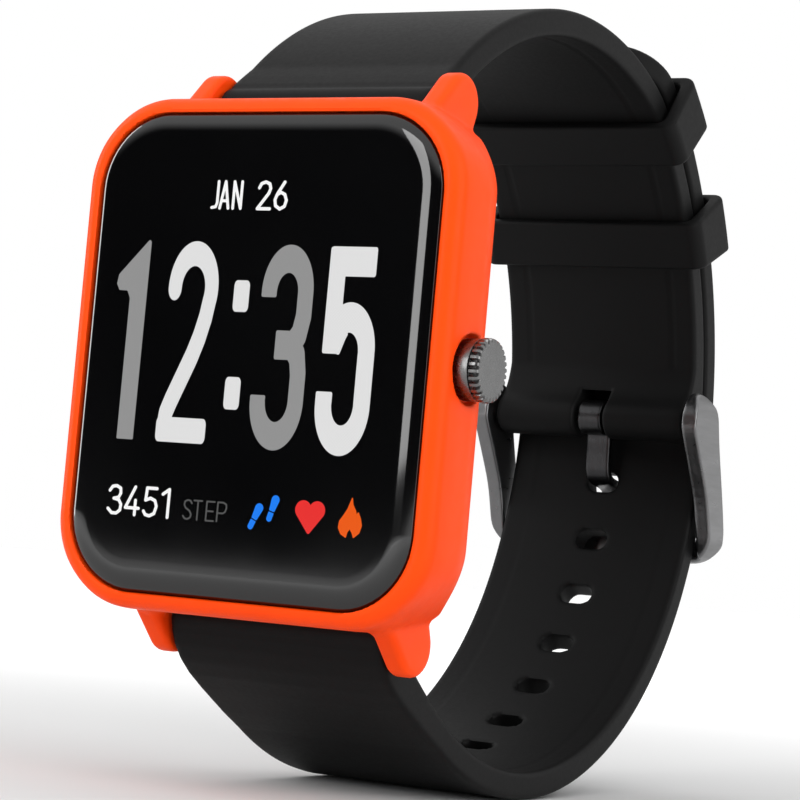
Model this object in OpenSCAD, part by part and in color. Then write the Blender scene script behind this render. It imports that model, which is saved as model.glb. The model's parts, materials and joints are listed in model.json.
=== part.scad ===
// Square-faced running watch on a buckled rubber strap.
// X points to the crown, Y from the glass to the back of the wrist, Z to twelve o'clock.
// The origin is the middle of the wrist opening.

/* [Case] */
// Width of the case across the glass, without the crown
case_w = 35.2; // [35:0.1:36]
// Height of the case from six to twelve o'clock, without the lugs
case_h = 41.4; // [41.2:0.1:42]
// Depth of the case from the bezel to the rear cover
case_d = 11; // [11:0.1:12]
// Radius of the case corners seen from the front
case_corner_r = 7.4; // [6.5:0.1:8]
// Distance from the middle of the wrist opening to the bezel plane
wrist_to_face = 36; // [36:0.1:36.4]
// Width of each lug
lug_w = 2; // [1.9:0.1:2.1]

/* [Glass and display] */
// Width of the cover glass
glass_w = 31.8; // [31:0.1:32]
// Height of the cover glass
glass_h = 38.5; // [38:0.1:38.7]
// Radius of the glass corners
glass_corner_r = 6.2; // [5:0.1:6.5]
// Height that the domed glass stands above the bezel plane
glass_proud = 0.3; // [0.1:0.05:0.4]

/* [Crown] */
// Radius of the knurled crown cap
crown_r = 2.5; // [2.3:0.05:2.55]
// Distance of the crown axis behind the bezel plane
crown_depth = 4.1; // [4.1:0.05:4.2]
// Distance that the crown can be pressed
crown_travel = 0.4; // [0.2:0.05:0.4]
// Number of grooves around the crown
crown_grooves = 24; // [18:1:30]

/* [Strap] */
// Width of the strap
strap_w = 20; // [19.6:0.1:20]
// Thickness of one strap layer
strap_t = 2.4; // [2.2:0.05:2.4]
// Space between the two layers where they overlap
layer_gap = 0.3; // [0.3:0.05:0.4]
// Middle radius of the inner layer where the layers overlap
wrap_r = 35.2; // [35.1:0.05:35.3]
// Radius of the tight bend above the upper keeper
shoulder_r = 14.6; // [14:0.1:15]
// Radius of the upper half between the bend and the case
top_r = 33.2; // [33:0.1:33.4]
// Radius of the lower half under the wrist
palm_r = 31.4; // [31:0.1:31.6]
// Radius of the lower half near the case
front_r = 60; // [58:1:62]
// Distance between the holes along the strap
hole_pitch = 6.1; // [6:0.05:6.2]
// Number of holes in the lower half
hole_count = 11; // [7:1:11]

/* [Buckle and keepers] */
// Outside width of the buckle
buckle_w = 24; // [23.6:0.1:24.4]
// Thickness of each buckle arm
buckle_arm_t = 1.6; // [1.4:0.1:1.6]
// Width of the tongue
tongue_w = 2.5; // [2.2:0.1:2.7]
// Length of each keeper along the strap
keeper_len = 5.3; // [4.8:0.1:5.4]
// Wall of each keeper
keeper_wall = 0.9; // [0.8:0.05:1]

/* [Hidden] */
$fn = 64;

// Unit vector at an angle in the Y-Z plane
function u(a) = [cos(a), sin(a)];
// Angle of the line from one point of the Y-Z plane to another
function angle_to(from, to) = atan2(to[1] - from[1], to[0] - from[0]);

// Case stack, as depths behind the bezel plane
face_y = -wrist_to_face;
glass_back = 1.05;
ledge = 1.2;
panel_back = 2.6;
frame_back = 3.7;
board_front = 4.1;
board_back = 4.9;
cover_front = 9.6;
gasket_front = 9.2;
sensor_proud = 0.6;
side_d = 5.4;
back_inset = 3.7;
cavity_w = 30.4;
cavity_h = 36.4;
rear_cavity_w = 25.2;
rear_cavity_r = 6.4;
cover_w = 26.6;
cover_h = 37.4;
cover_r = 7;
screw_x = 9.4;
screw_z = 15.9;
board_screw_x = 12.6;
board_screw_z = 3.2;

// Lugs and the spring bars in them
lug_inner_x = strap_w / 2 + 0.2;
lug_outer_x = lug_inner_x + lug_w;
bar = [face_y + 8.6, 21.1];
bar_r = 0.75;
bar_tip_r = 0.4;
bar_bore_r = 0.8;
tip_bore_r = 0.45;
tip_in = 8.4;
tip_reach = 1;
tip_travel = 1.05;
strap_end_r = 1.7;

// Strap centre lines: the overlap K, the shoulder T, the top F, the palm B and the front G
wrap_end = 50;
shoulder_end = 66.4;
palm_start = -25;
palm_end = -122.5;
tail_end = 60;
outer_r = wrap_r + strap_t + layer_gap;
K = [face_y + 28.6, 0.9];
T = K + (wrap_r - shoulder_r) * u(wrap_end);
F = T + (shoulder_r - top_r) * u(shoulder_end);
B = K + (outer_r - palm_r) * u(palm_start);
G = B + (palm_r - front_r) * u(palm_end);
upper_bar = bar;
lower_bar = [bar[0], -bar[1]];
// The larger this is, the fewer points an arc of the strap's profile gets
arc_fineness = 15;
hole_l = 3.3;
hole_h = 2.1;
tail_corner_r = 5;
first_hole = 27.2;

// Buckle
pivot = [face_y + 62.1, 0.8];
fold_r = 2.2;
fold_slot_w = 3.2;
fold_slot_top = 3.6;
arm_inner_x = buckle_w / 2 - buckle_arm_t;
arm_end_r = 2.75;
tongue_t = 0.8;
tongue_barrel_r = 1.6;
keeper_upper_at = 47.9;
keeper_lower_at = 29.2;
keeper_in_r = wrap_r - strap_t / 2 - 0.1;
keeper_out_r = outer_r + strap_t / 2 + 0.3;

// Rounded rectangle with its middle at the origin
module rounded(w, h, r) {
    square([w - 2 * r, h], center = true);
    square([w, h - 2 * r], center = true);
    for (sx = [-1, 1], sz = [-1, 1])
        translate([sx * (w / 2 - r), sz * (h / 2 - r)]) circle(r = r);
}

// Slab parallel to the glass, between two depths behind the bezel plane
module slab(w, h, r, d0, d1, x = 0, z = 0) {
    translate([x, face_y + d1, z]) rotate([90, 0, 0]) linear_extrude(d1 - d0) rounded(w, h, r);
}

// Box parallel to the glass, between two depths behind the bezel plane
module block(w, h, d0, d1, x = 0, z = 0) {
    translate([x - w / 2, face_y + d0, z - h / 2]) cube([w, d1 - d0, h]);
}

// Disc parallel to the glass, between two depths behind the bezel plane
module disc(r, d0, d1, x = 0, z = 0) {
    translate([x, face_y + d1, z]) rotate([90, 0, 0]) cylinder(r = r, h = d1 - d0);
}

// Round rod along X through a point of the Y-Z plane
module rod(r, x0, x1, p) {
    translate([x0, p[0], p[1]]) rotate([0, 90, 0]) cylinder(r = r, h = x1 - x0);
}

// Plate along X with its outline drawn in the Y-Z plane
module plate(x0, x1) {
    translate([x0, 0, 0]) rotate([90, 0, 90]) linear_extrude(x1 - x0) children();
}

// Cross-section swept about an X axis through c, from angle a0 to angle a1
module arc(c, a0, a1) {
    translate([0, c[0], c[1]]) rotate([90, 0, 90]) rotate([0, 0, a0])
        rotate_extrude(angle = a1 - a0, $fn = 128) children();
}

// Prism along the radius at angle a about c, outlined in the strap's own plane
module radial(c, a, r0, r1) {
    translate([0, c[0], c[1]]) rotate([a, 0, 0]) translate([0, r1, 0]) rotate([90, 0, 0])
        linear_extrude(r1 - r0) children();
}

// ---- Case ----

// Lug seen along X: a finger that slopes back from the bezel to a round tip
module lug_outline() {
    tip = [bar[0] + 0.3, bar[1] + 0.5];
    tip_r = 2.4;
    translate(tip) circle(r = tip_r);
    polygon([
        [face_y + 3.4, case_h / 2 - 2], [face_y + 4, case_h / 2 - 0.4],
        tip + tip_r * u(136), tip, tip + tip_r * u(-8), [face_y + 9.8, case_h / 2 - 2]
    ]);
}

module lugs() {
    for (side = [-1, 1], end = [0, 1])
        mirror([0, 0, end]) plate(
            side > 0 ? lug_inner_x : -lug_outer_x,
            side > 0 ? lug_outer_x : -lug_inner_x
        ) lug_outline();
}

// Wedge that closes in towards the wrist from side_d, reaching half_w to each side before that
module taper(half_w, turn) {
    slope = back_inset / (case_d - side_d);
    front = half_w + slope * (side_d + 1);
    back = half_w - slope * (case_d + 1 - side_d);
    rotate([0, turn, 0]) translate([0, 0, -40]) linear_extrude(80) polygon([
        [-front, face_y - 1], [front, face_y - 1], [back, face_y + case_d + 1], [-back, face_y + case_d + 1]
    ]);
}

// Body of the case: upright sides in front, sides and corners that close in behind
module case_body() {
    corner = (case_w + case_h) / 2 - 2 * case_corner_r;
    intersection() {
        union() {
            slab(case_w - 0.6, case_h - 0.6, case_corner_r - 0.3, 0, 0.7);
            slab(case_w, case_h, case_corner_r, 0.7, 9.6);
            slab(case_w - 1, case_h - 1, case_corner_r - 0.5, 9.6, case_d);
        }
        taper(case_w / 2, 0);
        taper(corner * cos(45) + case_corner_r, 45);
        taper(corner * cos(45) + case_corner_r, -45);
    }
}

module case_shell() {
    color("orangered") difference() {
        union() {
            case_body();
            lugs();
        }
        slab(glass_w + 0.1, glass_h + 0.1, glass_corner_r + 0.05, -1, ledge);
        slab(cavity_w, cavity_h, 5.5, 0, side_d + 0.3);
        slab(rear_cavity_w, cavity_h, rear_cavity_r, side_d, case_d + 1);
        slab(cover_w + 0.1, cover_h + 0.1, cover_r + 0.05, gasket_front, case_d + 1);
        for (end = [-1, 1]) {
            // Round relief that the strap end turns in
            rod(strap_end_r + 0.25, -lug_inner_x, lug_inner_x, [bar[0], end * bar[1]]);
            translate([-lug_inner_x, bar[0], end > 0 ? bar[1] - strap_end_r - 0.25 : -bar[1] - 5])
                cube([2 * lug_inner_x, 6, 5 + strap_end_r + 0.25]);
            // Blind holes for the spring bar tips
            for (side = [-1, 1])
                rod(
                    tip_bore_r,
                    side > 0 ? lug_inner_x - 0.5 : -lug_inner_x - tip_reach - 0.2,
                    side > 0 ? lug_inner_x + tip_reach + 0.2 : -lug_inner_x + 0.5,
                    [bar[0], end * bar[1]]
                );
        }
        rod(2.75, crown_seat, case_w / 2 + 1, crown_at);
        rod(1.3, cavity_w / 2 - 1, case_w / 2, crown_at);
        for (sx = [-1, 1], sz = [-1, 1]) disc(0.42, 6, 10, sx * screw_x, sz * screw_z);
    }
    // Bosses in the corners that take the rear screws
    color("orangered") for (sx = [-1, 1], sz = [-1, 1]) difference() {
        union() {
            disc(1.5, 5.8, gasket_front, sx * screw_x, sz * screw_z);
            block(2.6, 2.4, 5.8, gasket_front, sx * (screw_x + 1.2), sz * screw_z);
        }
        disc(0.42, 6.2, 10, sx * screw_x, sz * screw_z);
    }
}

module cover_glass() {
    color("black") {
        slab(glass_w, glass_h, glass_corner_r, 0, glass_back);
        slab(glass_w - 1.4, glass_h - 1.4, glass_corner_r - 0.7, -glass_proud / 2, 0);
        slab(glass_w - 3.4, glass_h - 3.4, glass_corner_r - 1.7, -glass_proud, -glass_proud / 2);
    }
}

module glass_adhesive() {
    color("dimgray") difference() {
        slab(glass_w, glass_h, glass_corner_r, glass_back, ledge);
        slab(cavity_w, cavity_h, 5.5, glass_back - 1, ledge + 1);
    }
}

module display_panel() {
    color("midnightblue") slab(28.6, 34.6, 4, glass_back, panel_back, 0, 0.6);
}

module display_flex() {
    color("peru") {
        block(11, 0.2, glass_back + 0.5, 3.9, 0, -17.6);
        block(11, 0.9, 1.75, 1.95, 0, -17.15);
        block(11, 1.2, 3.9, 4.05, 0, -17.1);
    }
}

module inner_frame() {
    color("darkslategray") difference() {
        union() {
            slab(29.8, 35.6, 5, panel_back + 0.1, frame_back);
            for (sx = [-1, 1]) disc(1.1, frame_back - 0.1, board_front, sx * board_screw_x, board_screw_z);
        }
        slab(22, 13, 2, 0, 8, 0, -8.2);
        slab(14, 9, 2, 0, 8, 2, 8);
        block(12.4, 2, 0, 8, 0, -17.4);
        // Room for the crown's switch and the end of its stem
        block(5.8, 3.8, 0, 8, 12.6, 0);
        for (sx = [-1, 1]) disc(0.42, 0, 8, sx * board_screw_x, board_screw_z);
    }
}

// ---- Electronics ----

module main_board() {
    color("darkgreen") difference() {
        slab(28, 15.6, 2.5, board_front, board_back, 0, 8.6);
        block(5.2, 5, 0, 9, 12.4, 0);
        for (sx = [-1, 1]) disc(0.5, 0, 9, sx * board_screw_x, board_screw_z);
    }
}

module board_screws() {
    color("silver") for (sx = [-1, 1]) {
        disc(0.9, board_back, board_back + 0.5, sx * board_screw_x, board_screw_z);
        disc(0.4, panel_back + 0.3, board_back, sx * board_screw_x, board_screw_z);
    }
}

module processor() {
    color("black") slab(5.6, 5.6, 0.4, board_back, board_back + 0.7, 2.6, 7.4);
}

module shield_can() {
    color("silver") difference() {
        slab(12, 9.4, 0.8, board_back, board_back + 1.3, 3.6, 7.6);
        slab(11.6, 9, 0.6, board_back - 1, board_back + 1.1, 3.6, 7.6);
    }
}

module gps_antenna() {
    color("khaki") slab(8.4, 8.4, 0.6, board_back, board_back + 2, -7.6, 9.2);
}

module radio_antenna() {
    color("gold") difference() {
        slab(16, 2, 0.5, board_back, board_back + 0.4, 4, 14.6);
        block(13, 0.5, 0, 9, 5, 14.8);
    }
}

module motion_sensor() {
    color("black") slab(2.6, 2.6, 0.2, board_back, board_back + 0.8, -5.2, 3);
}

module battery() {
    color("silver") slab(22.8, 11.6, 1.2, 4.3, 8, 0, -8.4);
}

module battery_lead() {
    color("firebrick") {
        block(3.4, 3.1, 5.6, 6.2, -9.4, -1.05);
        block(3.4, 2, board_back, 6.2, -9.4, 1.3);
    }
}

// Coin motor: a closed can whose half-disc weight spins about an axis along Y
motor_at = [9.2, 10.2];

module motor_can() {
    color("lightgray") difference() {
        disc(3.2, board_back + 1.3, 9, motor_at[0], motor_at[1]);
        disc(2.9, board_back + 1.5, 8.8, motor_at[0], motor_at[1]);
    }
    color("lightgray") disc(0.3, board_back + 1.4, 8.9, motor_at[0], motor_at[1]);
}

module motor_rotor() {
    color("dimgray") difference() {
        disc(2.6, 6.8, 8.4, motor_at[0], motor_at[1]);
        disc(0.35, 6, 10, motor_at[0], motor_at[1]);
        block(6, 3, 6, 10, motor_at[0], motor_at[1] + 2);
    }
}

// ---- Rear cover and pulse sensor ----

module rear_cover() {
    color("black") difference() {
        union() {
            slab(cover_w, cover_h, cover_r, cover_front, case_d);
            disc(7.6, case_d - 0.1, case_d + sensor_proud - 0.2);
        }
        disc(5.6, cover_front - 1, case_d + 2);
        for (sx = [-1, 1], sz = [-1, 1]) {
            disc(0.48, 9, 12, sx * screw_x, sz * screw_z);
            disc(0.95, case_d - 0.7, 12, sx * screw_x, sz * screw_z);
        }
        for (sx = [-1, 1]) disc(1.05, 9, 12, sx * 4, -13);
    }
}

module rear_gasket() {
    color("white") difference() {
        slab(cover_w, cover_h, cover_r, gasket_front, cover_front);
        slab(rear_cavity_w + 0.2, cavity_h + 0.1, rear_cavity_r, gasket_front - 1, cover_front + 1);
    }
}

module rear_screws() {
    color("silver") for (sx = [-1, 1], sz = [-1, 1]) difference() {
        union() {
            disc(0.9, case_d - 0.65, case_d - 0.05, sx * screw_x, sz * screw_z);
            disc(0.4, 6.6, case_d - 0.6, sx * screw_x, sz * screw_z);
        }
        block(1.4, 0.25, case_d - 0.3, case_d + 1, sx * screw_x, sz * screw_z);
    }
}

module sensor_board() {
    color("darkgreen") disc(6.6, 9, cover_front);
}

module sensor_leds() {
    color("palegreen") for (sx = [-1, 1]) block(1.6, 1.6, cover_front, cover_front + 0.6, sx * 3.6, 0);
}

module photodiode() {
    color("gray") block(2.4, 2.4, cover_front, cover_front + 0.5, 0, 0);
}

module light_divider() {
    color("black") difference() {
        disc(2.3, cover_front, 10.35);
        disc(1.9, cover_front - 1, 11);
    }
}

module sensor_window() {
    color("darkslategray") {
        disc(5.55, 10.4, case_d + sensor_proud - 0.15);
        disc(5.2, case_d + sensor_proud - 0.15, case_d + sensor_proud);
    }
}

module charging_pads() {
    color("gold") for (sx = [-1, 1]) {
        disc(1, 9.2, case_d, sx * 4, -13);
        disc(1.3, 9.2, cover_front, sx * 4, -13);
    }
}

// ---- Crown ----

crown_at = [face_y + crown_depth, 0];
crown_seat = 16.4;
crown_tube_end = 13.6;
crown_cap_in = crown_seat + crown_travel + 0.1;
crown_cap_out = crown_cap_in + 2.45;
stem_end = 12.6;
stem_r = 0.8;

module crown_cap() {
    color("gray") difference() {
        union() {
            rod(crown_r, crown_cap_in, crown_cap_out - 0.25, crown_at);
            rod(crown_r - 0.3, crown_cap_in, crown_cap_out, crown_at);
        }
        for (i = [0 : crown_grooves - 1])
            translate([0, crown_at[0], crown_at[1]]) rotate([i * 360 / crown_grooves, 0, 0])
                translate([0, crown_r + 0.05, 0]) rod(0.16, crown_cap_in + 0.2, crown_cap_out, [0, 0]);
        rod(stem_r + 0.02, crown_cap_in - 1, crown_cap_in + 0.8, crown_at);
    }
}

module crown_stem() {
    color("silver") difference() {
        rod(stem_r, stem_end, crown_cap_in + 0.7, crown_at);
        difference() {
            rod(stem_r + 1, 12.95, 13.25, crown_at);
            rod(stem_r - 0.25, 12, 14, crown_at);
        }
    }
}

module crown_clip() {
    color("silver") difference() {
        rod(1.35, 12.98, 13.22, crown_at);
        rod(stem_r - 0.22, 12, 14, crown_at);
        translate([12, crown_at[0] - 0.5, 0]) cube([2, 1, 2]);
    }
}

module crown_washer() {
    color("black") rod(1.38, 12.15, 12.55, crown_at);
}

module crown_tube() {
    color("silver") difference() {
        rod(1.28, crown_tube_end, crown_seat, crown_at);
        rod(stem_r + 0.05, 13, 17, crown_at);
        rod(1.1, 14.4, 15.1, crown_at);
    }
}

module crown_seal() {
    color("black") difference() {
        rod(1.08, 14.42, 15.08, crown_at);
        rod(stem_r + 0.04, 14, 16, crown_at);
    }
}

module crown_switch() {
    color("dimgray") difference() {
        translate([9.8, crown_at[0] - 1.4, -1.7]) cube([1.9, 2.8, 3.4]);
        rod(0.66, 10.8, 12, crown_at);
    }
}

module switch_plunger() {
    color("white") rod(0.6, 11.55, 12.1, crown_at);
}

// ---- Spring bars ----

// Tube of a spring bar, whose bore carries the tips
module bar_tube(p, half) {
    color("silver") difference() {
        rod(bar_r, -half, half, p);
        rod(tip_bore_r, -half - 1, half + 1, p);
    }
}

// Ribbed coil at the length it has with both tips pressed in
module bar_spring(p) {
    ribs = 18;
    half = tip_in - tip_travel - 0.05;
    pitch = 2 * half / ribs;
    color("silver") translate([-half, p[0], p[1]]) rotate([0, 90, 0]) rotate_extrude()
        polygon(concat(
            [[0.18, 0]],
            [for (i = [0 : ribs - 1], k = [0, 1]) [k == 0 ? 0.3 : 0.4, (i + k / 2) * pitch]],
            [[0.3, 2 * half], [0.18, 2 * half]]
        ));
}

// One sprung tip; side is 1 on the crown side and -1 on the other
module bar_tip(p, face, side) {
    color("lightgray") mirror([side > 0 ? 0 : 1, 0, 0]) {
        rod(bar_tip_r, tip_in, face + tip_reach - 0.2, p);
        rod(bar_tip_r - 0.15, tip_in, face + tip_reach, p);
    }
}

module top_bar_tube() { bar_tube(upper_bar, strap_w / 2 - 0.1); }
module top_bar_spring() { bar_spring(upper_bar); }
module top_bar_tip_left() { bar_tip(upper_bar, lug_inner_x, -1); }
module top_bar_tip_right() { bar_tip(upper_bar, lug_inner_x, 1); }
module bottom_bar_tube() { bar_tube(lower_bar, strap_w / 2 - 0.1); }
module bottom_bar_spring() { bar_spring(lower_bar); }
module bottom_bar_tip_left() { bar_tip(lower_bar, lug_inner_x, -1); }
module bottom_bar_tip_right() { bar_tip(lower_bar, lug_inner_x, 1); }
module buckle_bar_tube() { bar_tube(pivot, arm_inner_x - 0.1); }
module buckle_bar_spring() { bar_spring(pivot); }
module buckle_bar_tip_left() { bar_tip(pivot, arm_inner_x, -1); }
module buckle_bar_tip_right() { bar_tip(pivot, arm_inner_x, 1); }

// ---- Strap ----

// Points along an arc of radius r about c, leaving out the last one
function arc_points(c, r, a0, a1) =
    let (steps = ceil(abs(a1 - a0) * sqrt(r) / arc_fineness))
    [for (i = [0 : steps - 1]) c + r * u(a0 + (a1 - a0) * i / steps)];

// Upper half: it ends in a fold round the buckle bar, slotted for the tongue
module strap_top() {
    start = angle_to(F, upper_bar);
    half = strap_t / 2;
    profile = concat(
        arc_points(K, wrap_r + half, 0.5, wrap_end),
        arc_points(T, shoulder_r + half, wrap_end, shoulder_end),
        arc_points(F, top_r + half, shoulder_end, start - 8),
        [F + (top_r + half) * u(start - 8)],
        [[face_y + 8.9, 23.5], [face_y + 7.5, 22.6], [face_y + 6.95, 21.9]],
        arc_points(upper_bar, strap_end_r, start + 28, start + 203),
        arc_points(F, top_r - half, start - 2, shoulder_end),
        arc_points(T, shoulder_r - half, shoulder_end, wrap_end),
        arc_points(K, wrap_r - half, wrap_end, 9),
        arc_points(pivot, fold_r, 160, 300),
        [for (a = [-60 : 12 : 0]) pivot + (fold_r + 0.7 * (a + 60) / 60) * u(a)]
    );
    color([0.13, 0.13, 0.14]) difference() {
        plate(-strap_w / 2, strap_w / 2) polygon(profile);
        rod(bar_bore_r, -strap_w, strap_w, upper_bar);
        rod(bar_bore_r, -strap_w, strap_w, pivot);
        translate([-fold_slot_w / 2, pivot[0] - 4, pivot[1] - 4])
            cube([fold_slot_w, 8, fold_slot_top - pivot[1] + 4]);
    }
}

// Place of a hole, s millimetres along the lower half from the tail's first hole
function hole_place(s) =
    let (on_wrap = outer_r * (first_hole - palm_start) * PI / 180)
    s < on_wrap ? [K, first_hole - s / outer_r * 180 / PI, outer_r]
                : [B, palm_start - (s - on_wrap) / palm_r * 180 / PI, palm_r];

module hole_outline() {
    square([hole_l - hole_h, hole_h], center = true);
    for (side = [-1, 1]) translate([side * (hole_l - hole_h) / 2, 0]) circle(r = hole_h / 2);
}

// Lower half: it passes outside the upper one, through the buckle and both keepers
module strap_bottom() {
    start = angle_to(G, lower_bar);
    half = strap_t / 2;
    profile = concat(
        arc_points(K, outer_r + half, tail_end, palm_start),
        arc_points(B, palm_r + half, palm_start, palm_end + 4.5),
        [B + (palm_r + half) * u(palm_end + 4.5)],
        [[face_y + 8.2, -24.75], [face_y + 7.3, -24.1], [face_y + 6.9, -23.2], [face_y + 6.9, -22]],
        arc_points(lower_bar, strap_end_r, start - 34, start - 230),
        arc_points(G, front_r - half, start + 2.5, palm_end),
        arc_points(B, palm_r - half, palm_end, palm_start),
        arc_points(K, outer_r - half, palm_start, tail_end),
        [K + (outer_r - half) * u(tail_end)]
    );
    color([0.13, 0.13, 0.14]) difference() {
        plate(-strap_w / 2, strap_w / 2) polygon(profile);
        rod(bar_bore_r, -strap_w, strap_w, lower_bar);
        for (i = [0 : hole_count - 1]) {
            h = hole_place(i * hole_pitch);
            radial(h[0], h[1], h[2] - 3, h[2] + 3) hole_outline();
        }
        // Rounded corners of the tail
        radial(K, tail_end, outer_r - 3, outer_r + 3) difference() {
            translate([0, 2 - tail_corner_r]) square([strap_w + 2, 2 * tail_corner_r + 4], center = true);
            translate([0, -tail_corner_r - 0.3])
                rounded(strap_w + 0.01, 2 * tail_corner_r, tail_corner_r - 0.01);
            translate([0, -10 - tail_corner_r]) square([strap_w + 4, 20], center = true);
        }
    }
}

// Keeper: a rubber loop round both layers, centred at angle a of the overlap
module keeper(a) {
    half_angle = keeper_len / 2 / outer_r * 180 / PI;
    mid_r = (keeper_in_r + keeper_out_r) / 2;
    open_t = keeper_out_r - keeper_in_r;
    open_w = strap_w + 0.8;
    color([0.11, 0.11, 0.12]) arc(K, a - half_angle, a + half_angle) translate([mid_r, 0]) difference() {
        rounded(open_t + 2 * keeper_wall, open_w + 2.6, 0.9);
        rounded(open_t, open_w, 0.6);
    }
}

module keeper_upper() { keeper(keeper_upper_at); }
module keeper_lower() { keeper(keeper_lower_at); }

// ---- Buckle ----

bar_front = [face_y + 67.35, -11.4];

// Buckle arm seen along X: a plate round the pivot that narrows to the front bar
module arm_outline() {
    translate(pivot) circle(r = arm_end_r);
    polygon([
        pivot + arm_end_r * u(40), [face_y + 65.3, -1.5], [face_y + 66.4, -4.8],
        [face_y + 67.6, -8], bar_front + [0.9, 0], bar_front + [0.3, -1.2], bar_front + [-0.9, -1.2],
        [face_y + 65.0, -11], [face_y + 64.3, -9], [face_y + 63.3, -6.4], [face_y + 61.4, -3.4],
        pivot + arm_end_r * u(205), pivot
    ]);
}

module buckle_frame() {
    plan_top = pivot[1] + arm_end_r + 1;
    plan_bottom = bar_front[1] - 1.3;
    color("dimgray") difference() {
        intersection() {
            union() {
                plate(arm_inner_x, buckle_w / 2) arm_outline();
                plate(-buckle_w / 2, -arm_inner_x) arm_outline();
                plate(-buckle_w / 2, buckle_w / 2) translate(bar_front)
                    rotate(-14) rounded(1.7, 2.4, 0.6);
            }
            translate([0, pivot[0] + 10, (plan_top + plan_bottom) / 2]) rotate([90, 0, 0])
                linear_extrude(20) rounded(buckle_w, plan_top - plan_bottom, 3.4);
        }
        for (side = [-1, 1])
            rod(
                tip_bore_r,
                side > 0 ? arm_inner_x - 1 : -arm_inner_x - tip_reach - 0.15,
                side > 0 ? arm_inner_x + tip_reach + 0.15 : -arm_inner_x + 1,
                pivot
            );
    }
}

// Side of a strip of even thickness t along a chain of points, mitred at each bend
function strip_side(points, t) = [
    for (i = [0 : len(points) - 1])
        let (
            before = angle_to(points[max(i - 1, 0)], points[max(i, 1)]),
            after = angle_to(points[min(i, len(points) - 2)], points[min(i + 1, len(points) - 1)]),
            half_bend = (after - before) / 2
        )
        points[i] + t / 2 / cos(half_bend) * u(before + half_bend + 90)
];

// Tongue: a barrel on the buckle bar and a bent strip that goes out through a hole
module buckle_tongue() {
    path = [
        pivot + [1.2, 0], [face_y + 63.3, -1.2], [face_y + 63.2, -3], [face_y + 63.35, -4.5],
        [face_y + 64.3, -5.2], [face_y + 67.2, -5.75], [face_y + 68.5, -7], [face_y + 68.95, -8.6],
        [face_y + 68.95, -12.6]
    ];
    outer_side = strip_side(path, tongue_t);
    wrist_side = strip_side(path, -tongue_t);
    color([0.3, 0.3, 0.3]) difference() {
        plate(-tongue_w / 2, tongue_w / 2) polygon(concat(
            arc_points(pivot, tongue_barrel_r, 0, 302),
            [for (i = [1 : len(path) - 1]) wrist_side[i]],
            [for (i = [len(path) - 1 : -1 : 1]) outer_side[i]]
        ));
        rod(bar_bore_r, -strap_w, strap_w, pivot);
    }
}

case_shell();
cover_glass();
glass_adhesive();
display_panel();
display_flex();
inner_frame();
main_board();
board_screws();
processor();
shield_can();
gps_antenna();
radio_antenna();
motion_sensor();
battery();
battery_lead();
motor_can();
motor_rotor();
rear_cover();
rear_gasket();
rear_screws();
sensor_board();
sensor_leds();
photodiode();
light_divider();
sensor_window();
charging_pads();
crown_cap();
crown_stem();
crown_clip();
crown_washer();
crown_tube();
crown_seal();
crown_switch();
switch_plunger();
top_bar_tube();
top_bar_spring();
top_bar_tip_left();
top_bar_tip_right();
bottom_bar_tube();
bottom_bar_spring();
bottom_bar_tip_left();
bottom_bar_tip_right();
buckle_bar_tube();
buckle_bar_spring();
buckle_bar_tip_left();
buckle_bar_tip_right();
strap_top();
strap_bottom();
keeper_upper();
keeper_lower();
buckle_frame();
buckle_tongue();
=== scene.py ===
"""Looks of a square-faced running watch with a buckled rubber strap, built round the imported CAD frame."""
import json
import math

import bmesh
import bpy
import numpy as np
from mathutils import Matrix, Vector


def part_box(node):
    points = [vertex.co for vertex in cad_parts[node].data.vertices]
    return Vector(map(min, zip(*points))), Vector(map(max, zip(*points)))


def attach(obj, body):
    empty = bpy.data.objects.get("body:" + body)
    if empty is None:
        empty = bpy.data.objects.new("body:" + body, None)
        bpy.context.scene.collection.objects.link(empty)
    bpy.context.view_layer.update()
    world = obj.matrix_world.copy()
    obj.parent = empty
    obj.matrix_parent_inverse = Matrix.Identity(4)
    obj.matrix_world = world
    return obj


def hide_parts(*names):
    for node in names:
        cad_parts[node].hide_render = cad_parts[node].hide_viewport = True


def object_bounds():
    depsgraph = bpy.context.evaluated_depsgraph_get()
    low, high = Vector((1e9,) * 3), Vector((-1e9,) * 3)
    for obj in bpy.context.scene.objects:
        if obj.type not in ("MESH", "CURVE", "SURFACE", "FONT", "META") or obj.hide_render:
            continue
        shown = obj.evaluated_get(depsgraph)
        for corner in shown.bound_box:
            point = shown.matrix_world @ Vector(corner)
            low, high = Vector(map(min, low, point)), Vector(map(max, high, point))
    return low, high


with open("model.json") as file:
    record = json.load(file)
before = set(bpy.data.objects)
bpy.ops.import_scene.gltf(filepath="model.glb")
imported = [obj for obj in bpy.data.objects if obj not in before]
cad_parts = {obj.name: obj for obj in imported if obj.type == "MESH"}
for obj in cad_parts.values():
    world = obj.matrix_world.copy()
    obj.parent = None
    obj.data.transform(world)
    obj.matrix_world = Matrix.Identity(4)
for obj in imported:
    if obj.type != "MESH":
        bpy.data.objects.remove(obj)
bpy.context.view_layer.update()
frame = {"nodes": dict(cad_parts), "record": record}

MM = 0.001


# ---------------------------------------------------------------- places, in millimetres

def box_mm(node):
    lo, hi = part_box(node)
    return np.array(lo) / MM, np.array(hi) / MM


def middle_yz(node):
    lo, hi = box_mm(node)
    return (lo[1:] + hi[1:]) / 2


def u(angle):
    return np.array([math.cos(math.radians(angle)), math.sin(math.radians(angle))])


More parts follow.
